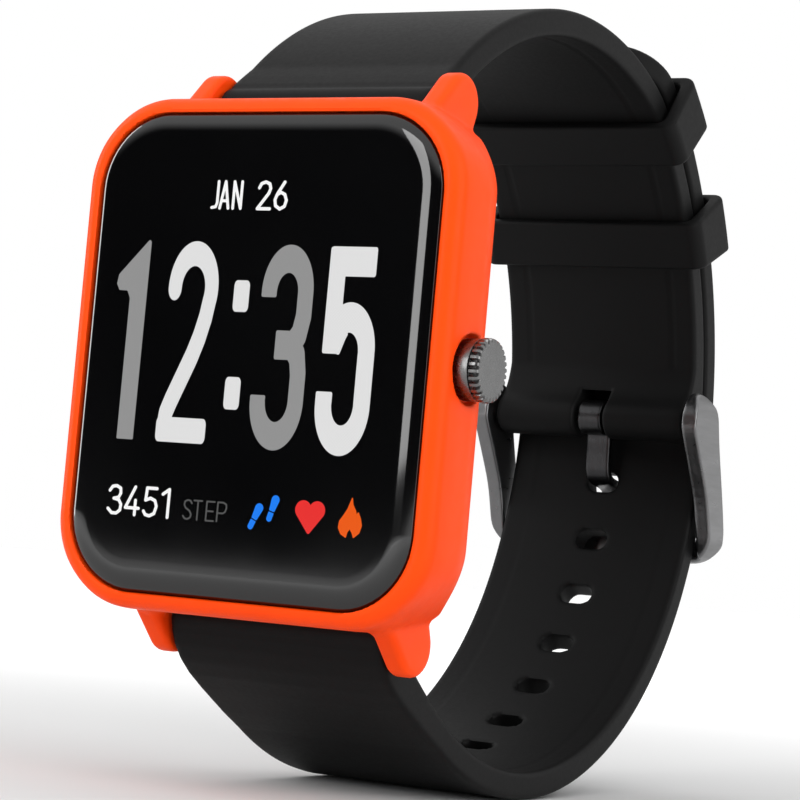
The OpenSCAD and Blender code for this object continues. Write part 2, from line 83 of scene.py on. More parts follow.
# FACE is the plane of the bezel; depths are counted from it towards the wrist, along Y
CASE_LO, CASE_HI = box_mm("case_shell")
FACE = CASE_LO[1]
HALF_W, HALF_H, CASE_D = CASE_HI[0], 20.7, 11.0
CORNER_R = 7.4
GLASS_HI = box_mm("cover_glass")[1]
GLASS_R = 6.2
CROWN_LO, CROWN_HI = box_mm("crown_cap")
CROWN_AT = middle_yz("crown_cap")
TOP_BAR = middle_yz("top_bar_tube")
LOW_BAR = middle_yz("bottom_bar_tube")
PIVOT = middle_yz("buckle_bar_tube")
STRAP_W, STRAP_T = 20.0, 2.4
# Spring bar bore, strap end round it, and the room for that end in the case
BORE_R, END_R, RELIEF_R = 0.8, 1.7, 1.95
LUG_IN, LUG_OUT, LUG_R = 10.2, 12.2, 2.4
CROWN_RECESS_R, CROWN_TUBE_R = 2.75, 1.3
# Depth at which the sides and corners start to close in towards the wrist, and how fast they do
SIDE_D, SIDE_SLOPE, CORNER_SLOPE = 6.1, 0.755, 0.25
CORNER_REACH = (HALF_W + HALF_H - 2 * CORNER_R) * math.cos(math.pi / 4) + CORNER_R
COVER_W, COVER_H, COVER_R = 13.3, 18.7, 7.0
COVER_D = 9.2
SCREW_X, SCREW_Z = 9.4, 15.9
PAD_X, PAD_Z = 4, -13
# How far visible surfaces stay inside the CAD's
SHY, THIN = 0.03, 0.02

# The strap's arcs in the Y-Z plane, as in the CAD: radii, the angles where they meet, and centres
WRAP_R, OUTER_R, SHOULDER_R, TOP_R, PALM_R, FRONT_R = 35.2, 37.9, 14.6, 33.2, 31.4, 60.0
SHOULDER_A, TOP_A, PALM_A, FRONT_A = 50, 66.4, -25, -122.5
WRAP_AT = np.array([FACE + 28.6, 0.9])
SHOULDER_AT = WRAP_AT + (WRAP_R - SHOULDER_R) * u(SHOULDER_A)
TOP_AT = SHOULDER_AT + (SHOULDER_R - TOP_R) * u(TOP_A)
PALM_AT = WRAP_AT + (OUTER_R - PALM_R) * u(PALM_A)
FRONT_AT = PALM_AT + (PALM_R - FRONT_R) * u(FRONT_A)


# ---------------------------------------------------------------- distance fields

def rmax(a, b, r):
    """Intersection of two fields whose shared edge is rounded to radius r."""
    return np.minimum(np.maximum(a, b), -r) + np.hypot(np.maximum(a + r, 0), np.maximum(b + r, 0))


def rmin(a, b, r):
    """Union of two fields whose shared corner is filled to radius r."""
    return -rmax(-a, -b, r)


def round_rect(x, z, w, h, r):
    qx, qz = np.abs(x) - (w - r), np.abs(z) - (h - r)
    return np.hypot(np.maximum(qx, 0), np.maximum(qz, 0)) + np.minimum(np.maximum(qx, qz), 0) - r


def round_cone(px, pz, a, ra, b, rb):
    """Two circles of a plane and the straight lines that join them."""
    ax, az = b[0] - a[0], b[1] - a[1]
    length = math.hypot(ax, az)
    along = ((px - a[0]) * ax + (pz - a[1]) * az) / length
    off = np.abs((px - a[0]) * az - (pz - a[1]) * ax) / length
    k = (ra - rb) / length
    c = math.sqrt(1 - k * k)
    side = off * c + along * k - ra
    t = along * c - off * k
    return np.where(t < 0, np.hypot(along, off) - ra,
                    np.where(t > c * length, np.hypot(along - length, off) - rb, side))


def path_field(px, pz, points):
    """Distance to an open chain of points."""
    best = np.full(np.shape(px), 1e9)
    for (ax, az), (bx, bz) in zip(points, points[1:]):
        ex, ez = bx - ax, bz - az
        wx, wz = px - ax, pz - az
        t = np.clip((wx * ex + wz * ez) / (ex * ex + ez * ez), 0, 1)
        best = np.minimum(best, np.hypot(wx - ex * t, wz - ez * t))
    return best


def polygon_field(px, pz, points):
    """Distance to a closed outline, negative inside."""
    ring = points + points[:1]
    inside = np.zeros(np.shape(px), bool)
    for (ax, az), (bx, bz) in zip(ring, ring[1:]):
        if bz != az:
            crosses = ((az <= pz) & (pz < bz)) | ((bz <= pz) & (pz < az))
            inside ^= crosses & (px < ax + (pz - az) / (bz - az) * (bx - ax))
    away = path_field(px, pz, ring)
    return np.where(inside, -away, away)


# ---------------------------------------------------------------- meshes

def skin(field, lo, hi, cell):
    """Points and quads on the surface where a field is zero, from a regular grid of cells."""
    lo, hi, cell = (np.array(v, float) for v in (lo, hi, cell))
    count = np.ceil((hi - lo) / cell).astype(int) + 1
    axes = [lo[i] + cell[i] * np.arange(count[i]) for i in range(3)]
    value = field(*np.meshgrid(*axes, indexing="ij"))
    inside = value < 0
    cells = tuple(count - 1)
    full = np.ones(cells, bool)
    some = np.zeros(cells, bool)
    shift = [(i, j, k) for i in (0, 1) for j in (0, 1) for k in (0, 1)]
    for i, j, k in shift:
        part = inside[i:i + cells[0], j:j + cells[1], k:k + cells[2]]
        full &= part
        some |= part
    mixed = some & ~full
    index = np.full(cells, -1)
    index[mixed] = np.arange(mixed.sum())
    # One point in each cell the surface passes through: the mean of its crossings with the cell's edges
    total = np.zeros(cells + (3,))
    crossings = np.zeros(cells)
    for axis in range(3):
        others = [a for a in range(3) if a != axis]
        for p in (0, 1):
            for q in (0, 1):
                start = [0, 0, 0]
                start[others[0]], start[others[1]] = p, q
                end = list(start)
                end[axis] = 1
                take = [slice(s, s + n) for s, n in zip(start, cells)]
                take_end = [slice(s, s + n) for s, n in zip(end, cells)]
                va, vb = value[tuple(take)], value[tuple(take_end)]
                cut = (va < 0) != (vb < 0)
                t = np.where(cut, va / np.where(cut, va - vb, 1), 0)
                crossings += cut
                for a in range(3):
                    total[..., a] += np.where(cut, t if a == axis else start[a], 0)
    where = np.argwhere(mixed)
    points = lo + cell * (where + total[mixed] / crossings[mixed][:, None])
    # One quad round each edge of the grid that the surface crosses
    quads = []
    for axis in range(3):
        a, b = [i for i in range(3) if i != axis]
        first = [slice(None)] * 3
        second = [slice(None)] * 3
        first[axis], second[axis] = slice(0, -1), slice(1, None)
        change = inside[tuple(first)] != inside[tuple(second)]
        keep = [slice(None)] * 3
        keep[a], keep[b] = slice(1, -1), slice(1, -1)
        spots = np.argwhere(change[tuple(keep)])
        spots[:, a] += 1
        spots[:, b] += 1
        out = inside[tuple(first)][tuple(spots.T)]
        ring = []
        for da, db in ((-1, -1), (0, -1), (0, 0), (-1, 0)):
            at = spots.copy()
            at[:, a] += da
            at[:, b] += db
            ring.append(index[tuple(at.T)])
        ring = np.stack(ring, 1)
        flip = out if axis == 1 else ~out
        ring[flip] = ring[flip][:, ::-1]
        quads.append(ring)
    # The points are then moved onto the surface, down the field's slope
    step = 0.02
    for _ in range(4):
        f = field(*points.T)
        slope = np.stack([
            (field(*(points + step * e).T) - field(*(points - step * e).T)) / (2 * step)
            for e in np.eye(3)
        ], 1)
        move = slope * (f / np.maximum((slope ** 2).sum(1), 0.2))[:, None]
        points -= np.clip(move, -0.6 * cell, 0.6 * cell)
    return points, np.concatenate(quads)


def place_mesh(name, mesh):
    obj = bpy.data.objects.new(name, mesh)
    bpy.context.scene.collection.objects.link(obj)
    return obj


def new_mesh(name, points, faces):
    """Smooth mesh object from points in millimetres."""
    mesh = bpy.data.meshes.new(name)
    points = np.asarray(points, float) * MM
    mesh.from_pydata(points.tolist(), [], [list(map(int, f)) for f in faces])
    mesh.validate()
    bm = bmesh.new()
    bm.from_mesh(mesh)
    loose = [v for v in bm.verts if not v.link_faces]
    bmesh.ops.delete(bm, geom=loose, context="VERTS")
    bmesh.ops.recalc_face_normals(bm, faces=bm.faces)
    bm.to_mesh(mesh)
    bm.free()
    for p in mesh.polygons:
        p.use_smooth = True
    return place_mesh(name, mesh)


def piece(obj, mat, body, slot, *nodes):
    """Finishes a visible piece: its material, the body it rides on and the CAD nodes it stands for."""
    obj.data.materials.append(mat)
    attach(obj, body)
    if nodes:
        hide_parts(*nodes)


def loft(name, rings):
    """Closed skin through rings that all have the same number of points, in millimetres."""
    n = len(rings[0])
    points = [p for ring in rings for p in ring]
    faces = []
    for i in range(len(rings) - 1):
        for j in range(n):
            k = (j + 1) % n
            faces.append((i * n + j, i * n + k, (i + 1) * n + k, (i + 1) * n + j))
    faces.append(tuple(range(n - 1, -1, -1)))
    faces.append(tuple((len(rings) - 1) * n + j for j in range(n)))
    return new_mesh(name, points, faces)


def rect_ring(w, h, r, depth):
    """Rounded rectangle parallel to the glass, at a depth behind the bezel plane."""
    per_corner = 14
    points = []
    for cx, cz, start in ((1, 1, 0), (-1, 1, 90), (-1, -1, 180), (1, -1, 270)):
        for i in range(per_corner + 1):
            c, s = u(start + 90 * i / per_corner)
            points.append((cx * (w - r) + r * c, FACE + depth, cz * (h - r) + r * s))
    return points


def disc_ring(r, depth):
    """Circle about the middle of the case, at a depth behind the bezel plane."""
    spokes = [u(360 * i / 64) for i in range(64)]
    return [(r * c, FACE + depth, r * s) for c, s in spokes]


def sharpen(obj, angle):
    """Keeps the edges sharper than this angle crisp."""
    limit = math.radians(angle)
    bm = bmesh.new()
    bm.from_mesh(obj.data)
    for e in bm.edges:
        if len(e.link_faces) == 2 and e.calc_face_angle(0) > limit:
            e.smooth = False
    bm.to_mesh(obj.data)
    bm.free()


# ---------------------------------------------------------------- materials

def shade(c, f):
    return tuple(v * f for v in c)


def set_sockets(node, **values):
    """Sets inputs of a node by name, with _ for each space."""
    for key, v in values.items():
        node.inputs[key.replace("_", " ")].default_value = v


class Look:
    """Small builder for a node material in object coordinates."""

    def __init__(self, name, rough, metal=0.0, **fixed):
        self.mat = bpy.data.materials.new(name)
        self.mat.use_nodes = True
        self.nodes, self.links = self.mat.node_tree.nodes, self.mat.node_tree.links
        self.bsdf = self.nodes["Principled BSDF"]
        set_sockets(self.bsdf, Roughness=rough, Metallic=metal, **fixed)
        self.coord = self.nodes.new("ShaderNodeTexCoord").outputs["Object"]

    def add(self, kind, **values):
        node = self.nodes.new(kind)
        for key, v in values.items():
            setattr(node, key, v)
        return node

    def remap(self, factor, socket, **ends):
        """Feeds a factor to a socket of the shader, mapped from one range of values to another."""
        node = self.add("ShaderNodeMapRange")
        set_sockets(node, **ends)
        self.link(factor, node.inputs["Value"])
        self.link(node.outputs["Result"], self.bsdf.inputs[socket])

    def link(self, a, b):
        self.links.new(a, b)

    def noise(self, scale, detail, stretch=None):
        """Noise in object coordinates, drawn finer along the axes where stretch is larger."""
        node = self.add("ShaderNodeTexNoise")
        set_sockets(node, Scale=scale, Detail=detail)
        source = self.coord
        if stretch:
            mapping = self.add("ShaderNodeMapping")
            set_sockets(mapping, Scale=stretch)
            self.link(source, mapping.inputs["Vector"])
            source = mapping.outputs["Vector"]
        self.link(source, node.inputs["Vector"])
        return node.outputs["Fac"]

    def colours(self, factor, stops):
        """Base colour from a factor through stops of (position, linear colour)."""
        ramp = self.add("ShaderNodeValToRGB")
        elements = ramp.color_ramp.elements
        while len(elements) < len(stops):
            elements.new(0.5)
        for e, (at, c) in zip(elements, stops):
            e.position = at
            e.color = (*c, 1)
        self.link(factor, ramp.inputs["Fac"])
        self.link(ramp.outputs["Color"], self.bsdf.inputs["Base Color"])

    def mottled(self, factor, colour, spread):
        self.colours(factor, [(0.3, shade(colour, 1 - spread)), (0.7, shade(colour, 1 + spread))])

    def gloss(self, factor, low, high):
        """Varies the roughness between two values with a factor."""
        self.remap(factor, "Roughness", From_Min=0.3, From_Max=0.7, To_Min=low, To_Max=high)

    def bump(self, factor, distance):
        """Relief of a given depth in metres."""
        node = self.add("ShaderNodeBump")
        set_sockets(node, Distance=distance, Strength=1.0)
        self.link(factor, node.inputs["Height"])
        self.link(node.outputs["Normal"], self.bsdf.inputs["Normal"])


def moulded(name, colour, rough, grain=3500.0, depth=4e-6, spread=0.1, **fixed):
    """Moulded plastic or rubber: fine grain, slight mottling and uneven gloss."""
    look = Look(name, rough, **fixed)
    look.mottled(look.noise(420.0, 3.0), colour, spread)
    look.gloss(look.noise(900.0, 3.0), rough - 0.05, rough + 0.06)
    look.bump(look.noise(grain, 2.0), depth)
    return look.mat


def metal(name, colour, rough, brush=None, spread=0.12, depth=2e-6, **fixed):
    """Metal with fine brushing along one axis, or an even satin when brush is None."""
    look = Look(name, rough, 1.0, **fixed)
    lines = look.noise(2600.0, 4.0, brush or (1, 1, 1))
    look.mottled(look.noise(700.0, 3.0, brush), colour, spread)
    look.gloss(lines, rough - 0.06, rough + 0.08)
    look.bump(lines, depth)
    return look.mat


PIXEL = 0.13


def lit(name, colour):
    """Lit figure of the display, with the faint raster of its pixels."""
    base = (*shade(colour, 0.05), 1)
    look = Look(name, 0.12, Specular_IOR_Level=0.3, Base_Color=base, Emission_Strength=1.0)
    raster = look.add("ShaderNodeTexChecker")
    set_sockets(raster, Scale=1 / (PIXEL * MM), Color1=(*colour, 1), Color2=(*shade(colour, 0.93), 1))
    look.link(look.coord, raster.inputs["Vector"])
    look.link(raster.outputs["Color"], look.bsdf.inputs["Emission Color"])
    return look.mat


def rubber(name, colour):
    """Dull strap rubber with a fine grain."""
    look = Look(name, 0.55, Specular_IOR_Level=0.12)
    look.mottled(look.noise(260.0, 4.0), colour, 0.03)
    look.gloss(look.noise(2600.0, 3.0), 0.53, 0.59)
    look.bump(look.noise(6200.0, 2.0), 3e-6)
    return look.mat


def board_look():
    """Circuit board: green mask over fine tracks."""
    look = Look("circuit_board", 0.35)
    brick = look.add("ShaderNodeTexBrick")
    set_sockets(brick, Scale=420.0, Mortar_Size=0.03, Color1=(0.004, 0.05, 0.02, 1),
                Color2=(0.006, 0.075, 0.03, 1), Mortar=(0.03, 0.17, 0.08, 1))
    turn = look.add("ShaderNodeMapping")
    set_sockets(turn, Rotation=(math.pi / 2, 0, 0))
    look.link(look.coord, turn.inputs["Vector"])
    look.link(turn.outputs["Vector"], brick.inputs["Vector"])
    look.link(brick.outputs["Color"], look.bsdf.inputs["Base Color"])
    look.bump(brick.outputs["Fac"], 1e-5)
    return look.mat


def glass_look():
    """Black-backed cover glass with a faint unevenness in its polish."""
    look = Look("cover_glass", 0.05, Specular_IOR_Level=0.7)
    look.colours(look.noise(60.0, 2.0), [(0.3, (0.0008, 0.0008, 0.001)), (0.7, (0.0016, 0.0016, 0.0018))])
    look.gloss(look.noise(90.0, 2.0), 0.045, 0.07)
    return look.mat


def floor_look():
    """White paper whose colour and glow both drop near the object: painted shade under the watch, with a
    painted glow that keeps the far floor white.
    """
    look = Look("floor", 0.7, Specular_IOR_Level=0.3, Emission_Color=(1, 1, 1, 1))
    reach = look.add("ShaderNodeVectorMath", operation="LENGTH")
    look.link(look.coord, reach.inputs[0])
    away = look.add("ShaderNodeMapRange", interpolation_type="SMOOTHSTEP")
    set_sockets(away, From_Min=0.03, From_Max=0.3)
    look.link(reach.outputs["Value"], away.inputs["Value"])
    away = away.outputs["Result"]
    # Painted shade: the floor's colour falls from 0.85 far away to 0.7 near the watch, and its glow falls
    # from 0.3 to nothing there
    look.colours(away, [(0.0, (0.7, 0.7, 0.7)), (1.0, (0.85, 0.85, 0.85))])
    look.remap(away, "Emission Strength", To_Max=0.3)
    look.bump(look.noise(400.0, 2.0), 1e-6)
    return look.mat


ORANGE = (1.0, 0.068, 0.003)
LOOKS = {
    "case_orange": moulded("case_orange", ORANGE, 0.42, 4200.0, 2.5e-6, 0.025, Specular_IOR_Level=0.1),
    "cover_glass": glass_look(),
    "adhesive": moulded("adhesive", (0.02, 0.02, 0.02), 0.7),
    "display": moulded("display", (0.003, 0.004, 0.01), 0.2),
    "copper_flex": metal("copper_flex", (0.6, 0.25, 0.08), 0.4, (1, 1, 8)),
    "black_plastic": moulded("black_plastic", (0.012, 0.012, 0.013), 0.42, 3000.0, 6e-6),
    "circuit_board": board_look(),
    "black_chip": moulded("black_chip", (0.01, 0.01, 0.011), 0.55, 6000.0, 6e-6),
    "plated_steel": metal("plated_steel", (0.5, 0.5, 0.5), 0.3),
    "antenna_ceramic": moulded("antenna_ceramic", (0.62, 0.5, 0.32), 0.5),
    "gold_contact": metal("gold_contact", (0.9, 0.58, 0.2), 0.28),
    "battery_foil": metal("battery_foil", (0.55, 0.56, 0.58), 0.42, (1, 1, 6), depth=1.2e-5),
    "lead_red": moulded("lead_red", (0.5, 0.02, 0.015), 0.5),
    "tungsten": metal("tungsten", (0.25, 0.25, 0.26), 0.4),
    "seal_rubber": moulded("seal_rubber", (0.35, 0.35, 0.34), 0.6),
    "led_green": moulded("led_green", (0.2, 0.6, 0.25), 0.25),
    "sensor_glass": moulded("sensor_glass", (0.004, 0.005, 0.006), 0.1, 800.0, 1e-6, Coat_Weight=0.6),
    "crown_metal": metal("crown_metal", (0.165, 0.165, 0.165), 0.26, spread=0.07),
    "switch_white": moulded("switch_white", (0.7, 0.7, 0.68), 0.45),
    "spring_steel": metal("spring_steel", (0.42, 0.42, 0.43), 0.25, (8, 1, 1)),
    "strap_rubber": rubber("strap_rubber", (0.0045, 0.0045, 0.0046)),
    "buckle_metal": metal("buckle_metal", (0.19, 0.19, 0.193), 0.33, (1, 0.1, 1), 0.05),
    "tongue_metal": metal("tongue_metal", (0.06, 0.06, 0.062), 0.32, (6, 1, 1), 0.08),
}


def finish_frame():
    """Gives every CAD node that stays visible the procedural material of its slot."""
    for part in frame["record"]["subparts"]:
        for s in frame["nodes"][part["node"]].material_slots:
            s.material = LOOKS[part["material_slot"]]


# ---------------------------------------------------------------- case

def closing(across, reach, slope, d):
    """Face at a given reach across the case that closes in towards the wrist behind SIDE_D."""
    return (across - reach + slope * (d - SIDE_D)) / math.hypot(1, slope)


def lug_outline(d, az):
    """A lug seen along X: three corners at (depth, height), each rounded to LUG_R."""
    return polygon_field(d, az, [(9.1, 21.6), (4.9, 17.4), (7.2, 16.6)]) - LUG_R


def case_field(x, y, z):
    d = y - FACE
    ax, az = np.abs(x), np.abs(z)
    # The walls draw in a little over the last 3 mm to the bezel
    shrink = 0.25 * np.clip((3.0 - d) / 3.0, 0, 1) ** 2
    body = round_rect(x, z, HALF_W - SHY - shrink, HALF_H - SHY - shrink, CORNER_R - shrink)
    body = rmax(body, -d, 1.2)
    body = rmax(body, closing(ax, HALF_W - SHY, SIDE_SLOPE, d), 1.0)
    body = rmax(body, closing((ax + az) * math.cos(math.pi / 4), CORNER_REACH, CORNER_SLOPE, d), 2.0)
    body = rmax(body, d - CASE_D, 0.9)
    lug = rmax(lug_outline(d, az), np.abs(ax - (LUG_IN + LUG_OUT) / 2) - (LUG_OUT - LUG_IN) / 2, 0.55)
    solid = rmin(body, lug, 0.5)
    bar_d, bar_z = TOP_BAR[0] - FACE, TOP_BAR[1]
    # Room for the strap's ends between the lugs
    relief = np.hypot(d - bar_d, az - bar_z) - RELIEF_R
    relief = np.minimum(relief, np.maximum(bar_d - d, bar_z - RELIEF_R - az))
    solid = rmax(solid, -np.maximum(relief, ax - LUG_IN), 0.25)
    # Pocket for the glass, the hollow inside, and the opening for the rear cover
    pocket = round_rect(x, z, GLASS_HI[0] + 0.07, GLASS_HI[2] + 0.07, GLASS_R + 0.07)
    solid = rmax(solid, -np.maximum(pocket, d - 1.2), 0.22)
    solid = np.maximum(solid, -np.maximum(round_rect(x, z, 15.2, 18.2, 5.5), d - 5.7))
    solid = np.maximum(solid, -np.maximum(round_rect(x, z, 12.6, 18.2, 6.4), 5.4 - d))
    cover = round_rect(x, z, COVER_W + 0.05, COVER_H + 0.05, COVER_R + 0.05)
    solid = rmax(solid, -np.maximum(cover, COVER_D - d), 0.15)
    # Recess and tube hole of the crown
    crown = np.hypot(d - (CROWN_AT[0] - FACE), z - CROWN_AT[1])
    solid = rmax(solid, -np.maximum(crown - CROWN_RECESS_R, 16.4 - x), 0.22)
    solid = np.maximum(solid, -np.maximum(crown - CROWN_TUBE_R, 14.2 - x))
    # Bosses of the rear screws
    screw = np.hypot(ax - SCREW_X, az - SCREW_Z)
    boss = np.minimum(screw - 1.5, round_rect(ax - SCREW_X - 1.2, az - SCREW_Z, 1.3, 1.2, 0.1))
    boss = np.maximum(np.maximum(boss, 5.8 - d), d - COVER_D)
    solid = np.minimum(solid, boss)
    return np.maximum(solid, -np.maximum(screw - 0.42, 6.2 - d))


def build_case():
    lo = (-HALF_W - 0.6, FACE - 0.5, CASE_LO[2] - 0.6)
    hi = (HALF_W + 0.6, CASE_HI[1] + 0.5, CASE_HI[2] + 0.6)
    obj = new_mesh("case_shell_fine", *skin(case_field, lo, hi, (0.25, 0.25, 0.25)))
    sharpen(obj, 50)
    piece(obj, LOOKS["case_orange"], "case", "case_orange", "case_shell")


def build_glass():
    """Flat glass whose rim falls away in a quarter ellipse, drop deep and reach wide."""
    top, drop, reach, steps = -0.27, 0.72, 1.9, 24
    insets = [(0.1, 1.03), (0, 0.9), (0, top + drop)]
    for i in range(1, steps + 1):
        c, s = u(90 * i / steps)
        insets.append((reach * (1 - c), top + drop * (1 - s)))
    insets += [(2.6, top), (4.4, top)]
    w, h = GLASS_HI[0] - THIN, GLASS_HI[2] - THIN
    rings = [rect_ring(w - inset, h - inset, GLASS_R - inset, depth) for inset, depth in insets]
    piece(loft("cover_glass_domed", rings), LOOKS["cover_glass"], "case", "cover_glass", "cover_glass")


# ---------------------------------------------------------------- figures of the display

def bar(x, z, a, b, r, corner=0.1):
    """Straight stroke with square ends from a to b, r to each side."""
    length = math.hypot(b[0] - a[0], b[1] - a[1])
    c, s = (b[0] - a[0]) / length, (b[1] - a[1]) / length
    mx, mz = (a[0] + b[0]) / 2, (a[1] + b[1]) / 2
    along, off = (x - mx) * c + (z - mz) * s, -(x - mx) * s + (z - mz) * c
    return round_rect(along, off, length / 2, r, min(corner, r * 0.9))


def bow(x, z, c, radius, a0, a1, r):
    """Curved stroke with square ends about c, from angle a0 up to angle a1."""
    mid, half = math.radians((a0 + a1) / 2), math.radians((a1 - a0) / 2)
    dx, dz = x - c[0], z - c[1]
    angle = np.abs((np.arctan2(dz, dx) - mid + math.pi) % (2 * math.pi) - math.pi)
    reach = np.hypot(dx, dz)
    past = reach * np.sin(np.clip(angle - half, -math.pi / 2, math.pi / 2))
    past = np.where(angle - half > math.pi / 2, reach, past)
    return rmax(np.abs(reach - radius) - r, past, 0.08)


def round_path(x, z, points, r):
    """Stroke with round ends along a chain of points."""
    return path_field(x, z, points) - r


def arc_path(c, radius, a0, a1, n):
    return [tuple(np.array(c) + radius * u(a0 + (a1 - a0) * i / n)) for i in range(n + 1)]


def figure_mesh(field, lo, hi, cell):
    """Flat faces that fill the inside of a plane field, clipped to its outline."""
    nx, nz = int((hi[0] - lo[0]) / cell) + 2, int((hi[1] - lo[1]) / cell) + 2
    xs, zs = lo[0] + cell * np.arange(nx), lo[1] + cell * np.arange(nz)
    value = field(*np.meshgrid(xs, zs, indexing="ij"))
    points, faces, seen = [], [], {}

    def corner(i, j):
        key = (i, j)
        if key not in seen:
            seen[key] = len(points)
            points.append((xs[i], zs[j]))
        return seen[key]

    def crossing(i, j, k, l):
        key = (min((i, j), (k, l)), max((i, j), (k, l)))
        if key not in seen:
            (i, j), (k, l) = key
            t = value[i, j] / (value[i, j] - value[k, l])
            t = min(max(t, 0.02), 0.98)
            seen[key] = len(points)
            points.append((xs[i] + t * (xs[k] - xs[i]), zs[j] + t * (zs[l] - zs[j])))
        return seen[key]

    inside = value < 0
    near = inside[:-1, :-1] | inside[1:, :-1] | inside[:-1, 1:] | inside[1:, 1:]
    for i, j in np.argwhere(near):
        ring = [(i, j), (i + 1, j), (i + 1, j + 1), (i, j + 1)]
        face = []
        for a, b in zip(ring, ring[1:] + ring[:1]):
            if inside[a]:
                face.append(corner(*a))
            if inside[a] != inside[b]:
                face.append(crossing(*a, *b))
        if len(face) > 2:
            faces.append(face)
    return points, faces


# Depths of the figures' back and front faces, just proud of the glass
GLYPH_BACK, GLYPH_FRONT = -0.2, -0.29


def figure(name, field, lo, hi, mat, cell, stretch=1.0):
    """Lit figure of the display; stretch makes it taller about z = 0."""
    flat, faces = figure_mesh(field, lo, hi, cell)
    bm = bmesh.new()
    verts = [bm.verts.new((x * MM, (FACE + GLYPH_BACK) * MM, z * stretch * MM)) for x, z in flat]
    for f in faces:
        bm.faces.new([verts[i] for i in f])
    bmesh.ops.dissolve_limit(bm, angle_limit=0.01, verts=bm.verts, edges=bm.edges)
    bmesh.ops.triangulate(bm, faces=bm.faces)
    made = bmesh.ops.extrude_face_region(bm, geom=bm.faces[:])
    moved = [g for g in made["geom"] if isinstance(g, bmesh.types.BMVert)]
    bmesh.ops.translate(bm, verts=moved, vec=(0, (GLYPH_FRONT - GLYPH_BACK) * MM, 0))
    bmesh.ops.recalc_face_normals(bm, faces=bm.faces)
    mesh = bpy.data.meshes.new(name)
    bm.to_mesh(mesh)
    bm.free()
    piece(place_mesh(name, mesh), mat, "case", "display")


# The large figures are drawn with even strokes and stretched in height
TALL = 1.6


def one(x, z):
    outline = [(-10.25, -4.45), (-10.2, 5.45), (-10.35, 5.5), (-13.0, 3.75), (-13.12, 3.3), (-12.85, 3.02),
               (-12.05, 3.0), (-11.74, 2.6), (-11.75, -4.45)]
    return polygon_field(x, z, outline) - 0.04


def two(x, z):
    r = 0.62
    c = (-5.73, 3.17)
    hook = arc_path(c, 1.74, 180, -22, 26)
    tail = [(-4.32, 1.75), (-4.75, 0.75), (-5.3, -0.2), (-6.9, -2.45), (-7.3, -3.1), (-7.42, -3.88)]
    return np.minimum(round_path(x, z, hook + tail, r), bar(x, z, (-8.07, -3.88), (-3.36, -3.88), r, 0.32))


def three(x, z):
    r = 0.69
    top = bow(x, z, (3.1, 3.1), 1.67, 0, 180, r)
    low = bow(x, z, (2.98, -2.15), 1.74, 180, 360, r)
    side = round_path(x, z, [(4.77, 3.1), (4.77, 2.0), (4.5, 1.1), (4.0, 0.62)], r)
    lower = round_path(x, z, [(4.0, 0.48), (4.5, 0.02), (4.72, -0.85), (4.72, -2.15)], r)
    ends = np.minimum(bar(x, z, (1.43, 2.87), (1.43, 3.15), r), bar(x, z, (1.24, -1.93), (1.24, -2.2), r))
    middle = bar(x, z, (2.4, 0.55), (4.2, 0.55), 0.71)
    return np.minimum.reduce([top, low, side, lower, ends, middle])


def five(x, z):
    r = 0.73
    head = bar(x, z, (6.85, 4.71), (10.92, 4.71), 0.72, 0.15)
    stem = bar(x, z, (7.48, 5.4), (7.46, 0.24), r, 0.12)
    bowl = bow(x, z, (9.0, 0.35), 1.67, 0, 128, r)
    right = bar(x, z, (10.67, 0.4), (10.67, -2.25), r)
    low = bow(x, z, (8.96, -2.2), 1.71, 180, 360, r)
    end = bar(x, z, (7.25, -1.6), (7.25, -2.25), r)
    foot = polygon_field(x, z, [(8.1, 0.2), (8.28, 0.22), (8.7, 0.95), (8.9, 1.2), (8.2, 2.3), (7.6, 1.6)])
    return np.minimum.reduce([head, stem, bowl, right, low, end, foot])


def colon(x, z):
    upper = round_rect(x + 1.14, z - 2.87, 0.72, 0.78, 0.3)
    return np.minimum(upper, round_rect(x + 1.17, z + 1.92, 0.72, 0.8, 0.3))


def small_glyphs():
    """Strokes of the small lines of text, each glyph drawn in its own box of unit height."""
    return {
        "J": [[(0.26, 1), (0.26, 0.2), (0.2, 0.05), (0.02, 0.02)]],
        "A": [[(0, 0), (0.2, 1), (0.4, 0)], [(0.07, 0.28), (0.33, 0.28)]],
        "N": [[(0, 0), (0, 1), (0.36, 0), (0.36, 1)]],
        "T": [[(0, 1), (0.44, 1)], [(0.22, 1), (0.22, 0)]],
        "E": [[(0.42, 1), (0, 1), (0, 0), (0.42, 0)], [(0, 0.5), (0.36, 0.5)]],
        "P": [[(0, 0), (0, 1), (0.3, 1), (0.46, 0.9), (0.48, 0.72), (0.42, 0.52), (0.3, 0.44), (0, 0.44)]],
        "S": [[(0.44, 0.84), (0.36, 0.97), (0.2, 1), (0.06, 0.92), (0.03, 0.74), (0.12, 0.58), (0.34, 0.44),
               (0.44, 0.26), (0.4, 0.09), (0.25, 0), (0.1, 0.03), (0, 0.16)]],
        "1": [[(0, 0.82), (0.24, 1), (0.24, 0)]],
        "2": [[(0.02, 0.78), (0.1, 0.94), (0.27, 1), (0.43, 0.93), (0.48, 0.76), (0.42, 0.58), (0, 0),
               (0.5, 0)]],
        "3": [[(0.02, 0.82), (0.12, 0.97), (0.28, 1), (0.44, 0.92), (0.46, 0.74), (0.38, 0.58), (0.2, 0.54)],
              [(0.2, 0.54), (0.4, 0.5), (0.5, 0.34), (0.48, 0.13), (0.34, 0.01), (0.16, 0.01), (0, 0.16)]],
        "4": [[(0.34, 1), (0, 0.24), (0.52, 0.24)], [(0.38, 0.52), (0.38, 0)]],
        "5": [[(0.46, 1), (0.08, 1), (0.05, 0.56), (0.24, 0.64), (0.42, 0.56), (0.49, 0.36), (0.42, 0.1),
               (0.24, 0), (0.08, 0.04), (0, 0.16)]],
        "6": [[(0.36, 1), (0.1, 0.56), (0.02, 0.34), (0.06, 0.12), (0.24, 0), (0.42, 0.1), (0.48, 0.32),
               (0.4, 0.54), (0.24, 0.62), (0.1, 0.54)]],
    }


